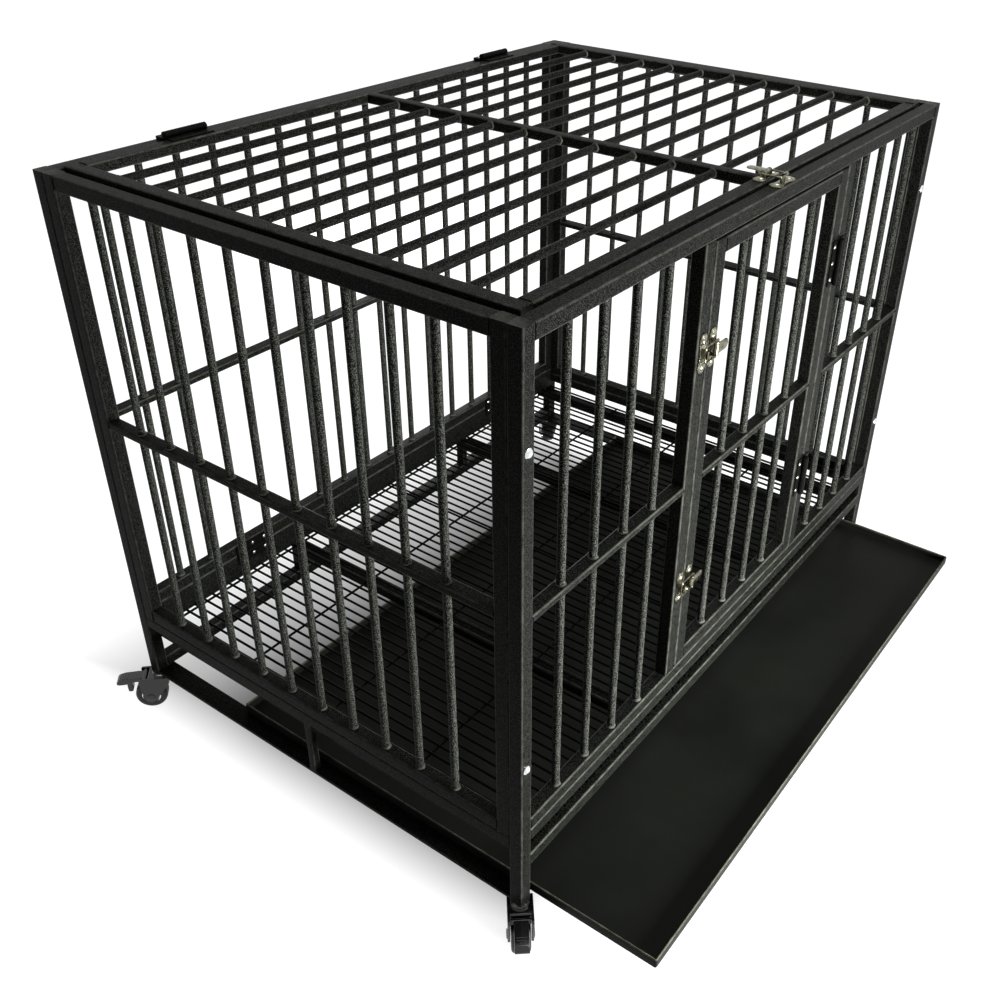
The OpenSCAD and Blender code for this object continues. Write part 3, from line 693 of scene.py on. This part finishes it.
def tray():
    """Folded sheet tray with a rolled hem."""
    low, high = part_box("floor_tray")
    width = high.x - low.x
    depth = high.y - low.y
    tall = high.z - low.z
    folds = ((0.003, 0.0, 0), (0.0008, 0.0004, 0), (0.0, 0.002, 0), (0.0, tall - 0.0022, 0),
             (0.0004, tall - 0.0007, 0.8), (0.0015, tall, 1), (0.0026, tall - 0.0007, 0.8),
             (0.003, tall - 0.002, 0.2), (0.003, tall - HEM, 0), (SHEET + 0.0002, tall - HEM - 0.0005, 0),
             (SHEET, 0.0045, 0), (SHEET + 0.0008, SHEET + 0.001, 0), (SHEET + 0.003, SHEET, 0))
    shape = Shape()
    rings = []
    worn = []
    for away, up, wear in folds:
        corner = max(TRAY_CORNER - away, 0.0006)
        outline, _ = rounded_outline(width - 2 * away, depth - 2 * away, corner)
        rings.append([Vector((low.x + away + x, low.y + away + y, low.z + up)) for x, y in outline])
        worn.append(wear)
    shape.loft(rings)
    shape.mesh.verts.ensure_lookup_table()
    count = len(rings[0])
    for i, vertex in enumerate(shape.mesh.verts):
        vertex[shape.edge] = worn[i // count]
    shape.piece("floor_tray_sheet", sheet_paint, "tray", "tray_sheet", "floor_tray")


def grate(node, body, outer):
    """Welded wire floor: long wires on top of five cross wires."""
    low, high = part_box(node)
    inner = low.x if outer > 0 else high.x
    reach = high.x - low.x
    top = high.z - WIRE_RADIUS
    foot = low.z + WIRE_RADIUS
    places = [WIRE_RADIUS + i * WIRE_PITCH for i in range(int((reach - 2 * WIRE_RADIUS) / WIRE_PITCH) + 1)]
    shape = Shape()
    for place in places + [reach - WIRE_RADIUS]:
        x = inner + outer * place
        shape.rod(Vector((x, low.y, top)), Vector((x, high.y, top)), WIRE_RADIUS, WIRE_SIDES)
    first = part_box("left_panel")[0].y + CROSS_INSET
    last = high.y - 2 * WIRE_RADIUS
    for i in range(CROSS_WIRES):
        y = first + (last - first) * i / (CROSS_WIRES - 1)
        shape.rod(Vector((low.x, y, foot)), Vector((high.x, y, foot)), WIRE_RADIUS, WIRE_SIDES)
    shape.piece(node + "_wire", wire_paint, body, "grate_wire", node)


def latch_outline():
    """A latch plate seen from above: two lobes and a narrower waist."""
    lower = arc(0, -RIVET_OFF, LOBE, -200, 20, 16)
    upper = arc(0, RIVET_OFF, LOBE, -20, 200, 16)
    right = [(WAIST, -WAIST_END), (WAIST, WAIST_END)]
    left = [(-WAIST, WAIST_END), (-WAIST, -WAIST_END)]
    return lower + right + upper + left


def rivet_profile(foot):
    """A domed rivet head in a shallow pressed ring."""
    dome = [(0.0072, 0.0), (0.0070, 0.0005), (0.0058, 0.0008), (0.0050, 0.0006)]
    dome += [(0.0050 * math.cos(t), 0.0006 + 0.0021 * math.sin(t)) for t in (0.35, 0.7, 1.05, 1.35)]
    return [(radius, foot + height) for radius, height in dome + [(0.0003, 0.0027)]]


def latch(name, lever_body, holder, lever_joint, x_axis, z_axis, drop):
    """One draw latch: strike with hook, base with ears, leaf lever and wire loop."""
    y_axis = z_axis.cross(x_axis)
    turn = Matrix((x_axis, y_axis, z_axis)).transposed().to_4x4()
    pivot = Vector(joints[lever_joint]["pos_m"])
    place = Matrix.Translation(pivot) @ turn @ Matrix.Translation(Vector((-PIVOT_X, 0, -PIVOT_UP)))
    side_turn = Matrix(((1, 0, 0, 0), (0, 0, -1, 0), (0, 1, 0, 0), (0, 0, 0, 1)))
    strikes, bases, rivets, fixed_rivets = Shape(), Shape(), Shape(), Shape()

    at_strike = place @ Matrix.Translation(Vector((-PIVOT_X, 0, -drop)))
    strikes.plate(latch_outline(), 0, PLATE, PLATE_EDGE, at_strike)
    hook = [(-0.0012, FLAP_FOOT), (0.0008, FLAP_FOOT), (0.001, 0.006 + drop), (0.0006, 0.009 + drop),
            (-0.0012, HOOK_UP + drop - 0.0006), (-0.0034, HOOK_UP + drop), (-0.0038, HOOK_UP + drop - 0.0012),
            (-0.002, 0.0092 + drop), (-0.001, 0.007 + drop)]
    strikes.plate(hook, -HOOK_HALF, HOOK_HALF, FLAP_EDGE, at_strike @ side_turn)
    at_base = place @ Matrix.Translation(Vector((PIVOT_X, 0, 0)))
    bases.plate(latch_outline(), 0, PLATE, PLATE_EDGE, at_base)
    ear = [(-EAR_RADIUS, FLAP_FOOT), (EAR_RADIUS, FLAP_FOOT)] + arc(0, PIVOT_UP, EAR_RADIUS, 0, 180, 14)
    for side in (-1, 1):
        middle = side * (EAR_IN + EAR / 2)
        bases.plate(ear, middle - EAR / 2, middle + EAR / 2, FLAP_EDGE, at_base @ side_turn)
        pin = at_base @ side_turn @ Matrix.Translation(Vector((0, PIVOT_UP, 0)))
        bases.lathe([(0.0019, side * (EAR_IN + EAR)), (0.0019, side * (EAR_IN + EAR + 0.0005)),
                     (0.0009, side * (EAR_IN + EAR + 0.0010))], pin, 16)
        for shape, at in ((rivets, at_base), (fixed_rivets, at_strike)):
            shape.lathe(rivet_profile(PLATE), at @ Matrix.Translation(Vector((0, side * RIVET_OFF, 0))))

    lever = Shape()
    at_pivot = at_base @ Matrix.Translation(Vector((0, 0, PIVOT_UP)))
    roll = [(0.0030, -BARREL_HALF), (EAR_RADIUS, -BARREL_HALF + 0.0008), (EAR_RADIUS, BARREL_HALF - 0.0008),
            (0.0030, BARREL_HALF)]
    lever.lathe(roll, at_pivot @ side_turn, 24)
    at_lug = at_pivot @ Matrix.Translation(Vector((LOOP_THROW, 0, 0))) @ side_turn
    lever.lathe([(0.0019, -BARREL_HALF), (0.00225, -BARREL_HALF + 0.0004), (0.00225, BARREL_HALF - 0.0004),
                 (0.0019, BARREL_HALF)], at_lug, 20)
    leaf_rings = []
    straight = LEVER_LONG - LEVER_HALF
    turns = [math.radians(t) for t in range(0, 86, 8)]
    outline = [(0.0, LEVER_HALF), (straight * 0.5, LEVER_HALF)]
    outline += [(straight + LEVER_HALF * math.sin(t), LEVER_HALF * math.cos(t)) for t in turns]
    for x, half in outline:
        crown = LEVER_CROWN * half / LEVER_HALF
        ring = [Vector((x, half * w, LEVER_RISE + crown * (1 - w * w))) for w in LEVER_STATIONS]
        ring += [point - Vector((0, 0, LEVER_SHEET)) for point in reversed(ring)]
        leaf_rings.append([at_pivot @ point for point in ring])
    lever.loft(leaf_rings)
    lever.piece(name + "_lever_leaf", shaded_nickel, lever_body, "latch_nickel", name + "_lever")

    loop = Shape()
    end_x = PIVOT_X + LOOP_THROW
    path = [(end_x, BARREL_HALF - LOOP_GRIP)]
    path += arc(end_x - LOOP_BEND, LOOP_HALF - LOOP_BEND, LOOP_BEND, 0, 90, 6)
    path += arc(LOOP_BAR_X + LOOP_BEND, LOOP_HALF - LOOP_BEND, LOOP_BEND, 90, 180, 6)
    path += [(x, -y) for x, y in reversed(path)]
    loop.wire([place @ Vector((x, y, PIVOT_UP)) for x, y in path], LOOP_WIRE)
    loop.piece(name + "_loop_wire", shaded_nickel, name + "_latch_loop", "latch_nickel", name + "_loop")
    bases.piece(name + "_latch_foot", shaded_nickel, holder, "latch_nickel")
    strikes.piece(name + "_strike_plate", shaded_nickel, "frame", "latch_nickel")
    rivets.piece(name + "_foot_rivets", rivet_painted_highlight, holder, "rivet_nickel")
    fixed_rivets.piece(name + "_strike_rivets", rivet_painted_highlight, "frame", "rivet_nickel")


def castor(name):
    """Fork, wheel, bright rims and brake pedal of one castor."""
    swivel = Vector(joints[name + "_swivel"]["pos_m"])
    axle = Vector(joints[name + "_roll"]["pos_m"])
    across = Vector(joints[name + "_roll"]["axis"])
    ahead = Vector((axle.x - swivel.x, axle.y - swivel.y, 0)).normalized()
    up = Vector((0, 0, 1))
    ground = Matrix.Translation(Vector((swivel.x, swivel.y, 0)))
    side = ground @ Matrix((ahead, up, -across)).transposed().to_4x4()
    hub = side @ Matrix.Translation(Vector((TRAIL, WHEEL_RADIUS, 0)))

    fork = Shape()
    cheek = arc(TRAIL, WHEEL_RADIUS, 0.0108, 200, 340, 16)
    cheek += [(0.0333, 0.046), (0.034, 0.0526)] + arc(0.0310, CROWN_TOP - CROWN_ROUND, CROWN_ROUND, 0, 90, 5)
    behind = arc(-0.010, CROWN_TOP - CROWN_ROUND, CROWN_ROUND, 90, 180, 5)
    cheek += behind + [(-0.013, 0.0536), (-0.0115, 0.0500)]
    for low, high in ((CHEEK_IN, CHEEK_OUT), (-CHEEK_OUT, -CHEEK_IN)):
        fork.plate(cheek, low, high, MOULD_EDGE, side)
    crown = arc(0.018, CROWN_TOP - CROWN_ROUND, CROWN_ROUND, 0, 90, 5) + behind
    crown += [(-0.013, CROWN_FOOT), (0.021, CROWN_FOOT)]
    fork.plate(crown, -CHEEK_IN - CROWN_SEAT, CHEEK_IN + CROWN_SEAT, CROWN_EDGE, side)
    for way in (-1, 1):
        head = [(0.0068, CHEEK_OUT - 0.0002), (0.0068, CHEEK_OUT + 0.0007), (0.0058, CHEEK_OUT + 0.0014),
                (0.0004, CHEEK_OUT + 0.0016)]
        fork.lathe([(radius, way * height) for radius, height in head], hub, 24)
    fork.piece(name + "_fork_moulding", gloss, name + "_castor", "castor_black", name + "_fork")

    wheel = Shape()
    tyre = [(0.0140, 0.0030), (0.0147, 0.0005), (0.0158, 0), (0.0202, 0), (0.0219, 0.0005), (0.0235, 0.0020),
            (0.0246, 0.0043), (WHEEL_RADIUS, 0.0070)]
    left = [(radius, depth - WHEEL_HALF) for radius, depth in tyre]
    wheel.lathe(left + [(radius, -height) for radius, height in reversed(left)], hub, 64)
    wheel.piece(name + "_tyre", rubber, name + "_roller", "wheel_rubber", name + "_wheel")
    rims = Shape()
    for way in (-1, 1):
        dish = [(0.0045, 0.0055), (0.0045, 0.0003), (0.0082, 0), (0.0092, 0.0009), (0.0108, 0.0023),
                (0.0126, 0.0025), (0.0138, 0.0017), (0.0146, 0.0005), (0.0142, 0.0055)]
        rims.lathe([(radius, way * (WHEEL_HALF - depth)) for radius, depth in dish], hub, 48)
    rims.piece(name + "_rims", rim_metal, name + "_roller", None)

    pedal = Shape()
    profile = arc(PEDAL_PIN_X, PEDAL_PIN_UP, KNUCKLE_RADIUS, 120, 270, 8)
    profile += [(0.0405, 0.0541), (0.050, 0.0518), (0.056, 0.0503), (0.062, 0.0500), (0.0672, 0.0502),
                (0.0693, 0.0514), (0.0700, 0.0534), (0.0696, 0.0556), (0.0676, 0.0575), (0.064, 0.0592),
                (0.056, 0.0611), (0.047, 0.0613), (0.037, 0.0618)]
    pedal.plate(profile, -PEDAL_HALF, PEDAL_HALF, PEDAL_EDGE, side)
    knuckle = side @ Matrix.Translation(Vector((PEDAL_PIN_X, PEDAL_PIN_UP, 0)))
    pedal.lathe([(0.0030, -KNUCKLE_HALF), (KNUCKLE_RADIUS, -KNUCKLE_HALF + MOULD_EDGE),
                 (KNUCKLE_RADIUS, KNUCKLE_HALF - MOULD_EDGE), (0.0030, KNUCKLE_HALF)], knuckle, 20)
    shoe = [(0.0470, SHOE_TOP), (0.0470, SHOE_FOOT)] + arc(0.0500, SHOE_FOOT, SHOE_ROUND, 180, 270, 5)
    shoe += arc(0.0520, SHOE_FOOT, SHOE_ROUND, 270, 360, 5) + [(0.0550, SHOE_TOP)]
    pedal.plate(shoe, -SHOE_HALF, SHOE_HALF, MOULD_EDGE, side)
    for x, y in ((0.0525, 0.0611), (0.0565, 0.0609), (0.0605, 0.0600), (0.0645, 0.0588)):
        low = side @ Vector((x, y, -0.75 * PEDAL_HALF))
        high = side @ Vector((x, y, 0.75 * PEDAL_HALF))
        pedal.rod(low, high, RIB_RADIUS, RIB_SIDES)
    pedal.piece(name + "_brake_tread", gloss, name + "_brake", "castor_black", name + "_pedal")


def dress(material, *names):
    """A better material on nodes whose shape stays."""
    for name in names:
        nodes[name].data.materials.clear()
        nodes[name].data.materials.append(material)


def area_lamp(name, place, target, size, watts, spread):
    data = bpy.data.lights.new(name, "AREA")
    data.shape = "SQUARE"
    data.size = size
    data.energy = watts
    data.spread = math.radians(spread)
    lamp = bpy.data.objects.new(name, data)
    lamp.location = place
    lamp.rotation_euler = (Vector(target) - Vector(place)).to_track_quat("-Z", "Y").to_euler()
    lamp.visible_camera = False
    bpy.context.scene.collection.objects.link(lamp)


def seen_share(tree):
    """1 for the rays that see the background: from the camera, and from gloss and glass."""
    path = tree.nodes.new("ShaderNodeLightPath")
    total = path.outputs["Is Camera Ray"]
    for name in ("Is Glossy Ray", "Is Transmission Ray"):
        both = tree.nodes.new("ShaderNodeMath")
        both.operation = "MAXIMUM"
        tree.links.new(total, both.inputs[0])
        tree.links.new(path.outputs[name], both.inputs[1])
        total = both.outputs["Value"]
    return total


def studio():
    """A dim world that looks white, a pale floor whose glow is withdrawn under and behind the crate as a
    painted shadow, and soft lamps.
    """
    world = bpy.data.worlds.new("studio")
    world.use_nodes = True
    background = world.node_tree.nodes["Background"]
    background.inputs["Color"].default_value = (1, 1, 1, 1)
    strength = world.node_tree.nodes.new("ShaderNodeMath")
    strength.operation = "MAXIMUM"
    strength.inputs[0].default_value = WORLD_LIGHT
    world.node_tree.links.new(seen_share(world.node_tree), strength.inputs[1])
    world.node_tree.links.new(strength.outputs["Value"], background.inputs["Strength"])
    bpy.context.scene.world = world

    data = bpy.data.meshes.new("floor")
    corners = [(x * FLOOR_SPAN, y * FLOOR_SPAN, 0) for x, y in ((-1, -1), (1, -1), (1, 1), (-1, 1))]
    data.from_pydata(corners, [], [(0, 1, 2, 3)])
    floor = bpy.data.objects.new("floor", data)
    bpy.context.scene.collection.objects.link(floor)
    look = Look("pale_floor", roughness=0.9, specular=0.1)
    look.shader.inputs["Base Color"].default_value = (*FLOOR_COLOUR, 1)
    look.shader.inputs["Emission Color"].default_value = (1, 1, 1, 1)
    low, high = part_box("left_runner")[0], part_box("right_runner")[1]
    parts = look.node("ShaderNodeSeparateXYZ")
    look.link(look.place, parts.inputs["Vector"])
    across = look.maths("SUBTRACT", look.maths("ABSOLUTE", parts.outputs["X"], 0.0), high.x)
    ahead = look.maths("SUBTRACT", low.y, parts.outputs["Y"])
    # The glow drops to SHADE_GLOW in a box under the crate and past its back: a painted shadow
    near = look.span(look.maths("MAXIMUM", across, ahead), SHADE_GLOW, FLOOR_GLOW, -SHADE_IN, SHADE_OUT)
    behind = look.span(parts.outputs["Y"], SHADE_GLOW, FLOOR_GLOW,
                       high.y - SHADE_BACK_IN, high.y + SHADE_BACK_OUT)
    outside = look.maths("MAXIMUM", near, behind)
    look.set("Emission Strength", look.maths("MULTIPLY", outside, seen_share(look.tree)))
    data.materials.append(look.material)

    for lamp in LAMPS:
        area_lamp(*lamp)


make_camera()
mid_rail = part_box("front_bottom_rail")[0].z + MID_RAIL_UP

paint = hammer_paint()
hinge_paint = satin_black("hinge_paint", 0.008)
wire_paint = satin_black("wire_paint", 0.006)
sheet_paint = tray_paint()
# The nickel is darkened below real plating as painted shade for the dim room it mirrors; the rivets take a
# lighter copy of it as a painted highlight on their domes
shaded_nickel = plated("shaded_nickel_plate", (0.24, 0.23, 0.16), (0.05, 0.048, 0.032), 0.2)
rivet_painted_highlight = plated("rivet_painted_highlight", (0.42, 0.41, 0.32), (0.16, 0.155, 0.11), 0.14)
zinc = plated("zinc_plate", (0.90, 0.92, 0.93), (0.66, 0.69, 0.72), 0.22)
steel = plated("screw_steel", (0.66, 0.66, 0.63), (0.45, 0.45, 0.42), 0.25)
rim_metal = plated("rim_metal", (0.88, 0.88, 0.84), (0.74, 0.74, 0.70), 0.1)
gloss = gloss_black()
rubber = tread_rubber()

for node in ("left_panel", "right_panel"):
    panel(node, "frame", SIDE_BARS, bars_back=SIDE_BARS_BACK)
panel("back_panel", "frame", BACK_BARS, TUBE)
panel("door_panel", "door", DOOR_BARS, post=DOOR_POST)
front_bay("front_left_bay", -1)
front_bay("front_right_bay", 1)
single_rails()
side_base("base_left_rail", -1)
side_base("base_right_rail", 1)
back_base()
lid()
tray()
grate("left_grate", "left_floor", -1)
grate("right_grate", "right_floor", 1)

door_axes = (Vector((1, 0, 0)), Vector((0, -1, 0)))
lid_axes = (Vector((0, 1, 0)), Vector((0, 0, 1)))
lid_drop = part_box("lid_panel")[1].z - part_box("front_top_rail")[1].z
latch("upper", "upper_latch_lever", "door", "upper_lever_turn", *door_axes, 0)
latch("lower", "lower_latch_lever", "door", "lower_lever_turn", *door_axes, 0)
latch("lid", "lid_latch_lever", "lid", "lid_lever_turn", *lid_axes, lid_drop)
for piece, replaced in (("upper_strike_plate", "latch_strikes"), ("upper_strike_rivets", "strike_rivets"),
                        ("upper_latch_foot", "door_latch_bases"), ("upper_foot_rivets", "door_latch_rivets"),
                        ("lid_latch_foot", "lid_latch_base"), ("lid_foot_rivets", "lid_latch_rivets")):
    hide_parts(replaced)

for corner in ("front_left", "front_right", "back_left", "back_right"):
    castor(corner)

dress(paint, "lid_rests")
dress(hinge_paint, "door_hinge_posts", "door_hinge_leaves", "lid_hinge_posts", "lid_hinge_leaves",
      "lid_hinge_screws", "fold_hinges")
dress(steel, "frame_hinge_screws", "door_hinge_screws", "castor_stems")
dress(zinc, "panel_bolts")
studio()
